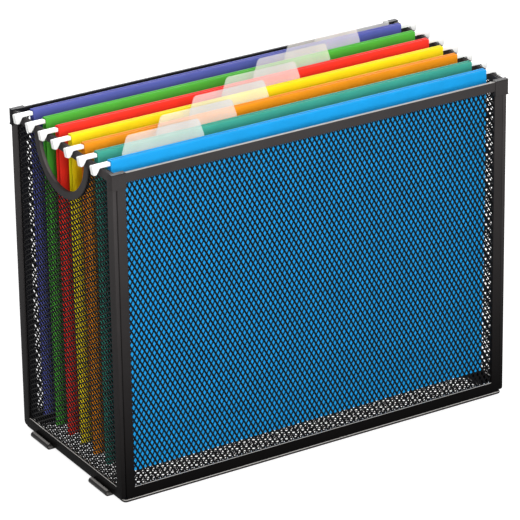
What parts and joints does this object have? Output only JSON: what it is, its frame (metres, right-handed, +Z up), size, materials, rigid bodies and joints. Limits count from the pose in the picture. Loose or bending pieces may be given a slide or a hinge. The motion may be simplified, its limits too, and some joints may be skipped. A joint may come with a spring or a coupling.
{
  "type": "mesh hanging file box",
  "caption": "Black mesh desktop file box with half-round hand holes, holding hanging folders in rainbow colours with clear label tabs.",
  "frame": {"origin": "on the table, under the middle of the box", "axes": "+X along the long side to the right seen from the front, -Y towards the front panel, +Z up"},
  "size_m": [0.3334, 0.1454, 0.2647],
  "materials": {
    "black_steel": "satin powder coat",
    "black_mesh": "satin powder coat",
    "white_coating": "smooth dipped coating",
    "clear_plastic": "frosted",
    "blue_card": "matt card",
    "teal_card": "matt card",
    "orange_card": "matt card",
    "yellow_card": "matt card",
    "red_card": "matt card",
    "green_card": "matt card",
    "violet_card": "matt card"
  },
  "bodies": {
    "box": {"front_frame": "black_steel", "back_frame": "black_steel", "left_frame": "black_steel", "right_frame": "black_steel", "left_handle_band": "black_steel", "right_handle_band": "black_steel", "front_mesh": "black_mesh", "back_mesh": "black_mesh", "left_mesh": "black_mesh", "right_mesh": "black_mesh", "tray_frame": "black_steel", "tray_mesh": "black_mesh", "front_left_cap": "black_steel", "front_right_cap": "black_steel", "back_left_cap": "black_steel", "back_right_cap": "black_steel", "left_foot_curls": "black_steel", "right_foot_curls": "black_steel"},
    "blue_folder": {"blue_folder_back_flap": "blue_card", "blue_folder_back_hanger": "white_coating", "blue_folder_label_tab": "clear_plastic"},
    "blue_folder_front": {"blue_folder_front_flap": "blue_card", "blue_folder_front_hanger": "white_coating"},
    "teal_folder": {"teal_folder_back_flap": "teal_card", "teal_folder_back_hanger": "white_coating", "teal_folder_label_tab": "clear_plastic"},
    "teal_folder_front": {"teal_folder_front_flap": "teal_card", "teal_folder_front_hanger": "white_coating"},
    "orange_folder": {"orange_folder_back_flap": "orange_card", "orange_folder_back_hanger": "white_coating", "orange_folder_label_tab": "clear_plastic"},
    "orange_folder_front": {"orange_folder_front_flap": "orange_card", "orange_folder_front_hanger": "white_coating"},
    "yellow_folder": {"yellow_folder_back_flap": "yellow_card", "yellow_folder_back_hanger": "white_coating", "yellow_folder_label_tab": "clear_plastic"},
    "yellow_folder_front": {"yellow_folder_front_flap": "yellow_card", "yellow_folder_front_hanger": "white_coating"},
    "red_folder": {"red_folder_back_flap": "red_card", "red_folder_back_hanger": "white_coating", "red_folder_label_tab": "clear_plastic"},
    "red_folder_front": {"red_folder_front_flap": "red_card", "red_folder_front_hanger": "white_coating"},
    "green_folder": {"green_folder_back_flap": "green_card", "green_folder_back_hanger": "white_coating", "green_folder_label_tab": "clear_plastic"},
    "green_folder_front": {"green_folder_front_flap": "green_card", "green_folder_front_hanger": "white_coating"},
    "violet_folder": {"violet_folder_back_flap": "violet_card", "violet_folder_back_hanger": "white_coating", "violet_folder_label_tab": "clear_plastic"},
    "violet_folder_front": {"violet_folder_front_flap": "violet_card", "violet_folder_front_hanger": "white_coating"}
  },
  "joints": [
    {"name": "blue_folder_slide", "type": "slide", "parent": "box", "child": "blue_folder", "axis": [0, 1, 0], "range_m": [-0.01, 0.01]},
    {"name": "blue_folder_open", "type": "hinge", "parent": "blue_folder", "child": "blue_folder_front", "pos_m": [0, -0.0546, 0.0143], "axis": [1, 0, 0], "range_deg": [0, 2.5]},
    {"name": "teal_folder_slide", "type": "slide", "parent": "box", "child": "teal_folder", "axis": [0, 1, 0], "range_m": [-0.01, 0.01]},
    {"name": "teal_folder_open", "type": "hinge", "parent": "teal_folder", "child": "teal_folder_front", "pos_m": [0, -0.0364, 0.0143], "axis": [1, 0, 0], "range_deg": [0, 2.5]},
    {"name": "orange_folder_slide", "type": "slide", "parent": "box", "child": "orange_folder", "axis": [0, 1, 0], "range_m": [-0.01, 0.01]},
    {"name": "orange_folder_open", "type": "hinge", "parent": "orange_folder", "child": "orange_folder_front", "pos_m": [0, -0.0182, 0.0143], "axis": [1, 0, 0], "range_deg": [0, 2.5]},
    {"name": "yellow_folder_slide", "type": "slide", "parent": "box", "child": "yellow_folder", "axis": [0, 1, 0], "range_m": [-0.01, 0.01]},
    {"name": "yellow_folder_open", "type": "hinge", "parent": "yellow_folder", "child": "yellow_folder_front", "pos_m": [0, 0, 0.0143], "axis": [1, 0, 0], "range_deg": [0, 2.5]},
    {"name": "red_folder_slide", "type": "slide", "parent": "box", "child": "red_folder", "axis": [0, 1, 0], "range_m": [-0.01, 0.01]},
    {"name": "red_folder_open", "type": "hinge", "parent": "red_folder", "child": "red_folder_front", "pos_m": [0, 0.0182, 0.0143], "axis": [1, 0, 0], "range_deg": [0, 2.5]},
    {"name": "green_folder_slide", "type": "slide", "parent": "box", "child": "green_folder", "axis": [0, 1, 0], "range_m": [-0.01, 0.01]},
    {"name": "green_folder_open", "type": "hinge", "parent": "green_folder", "child": "green_folder_front", "pos_m": [0, 0.0364, 0.0143], "axis": [1, 0, 0], "range_deg": [0, 2.5]},
    {"name": "violet_folder_slide", "type": "slide", "parent": "box", "child": "violet_folder", "axis": [0, 1, 0], "range_m": [-0.01, 0.01]},
    {"name": "violet_folder_open", "type": "hinge", "parent": "violet_folder", "child": "violet_folder_front", "pos_m": [0, 0.0546, 0.0143], "axis": [1, 0, 0], "range_deg": [0, 2.5]}
  ]
}
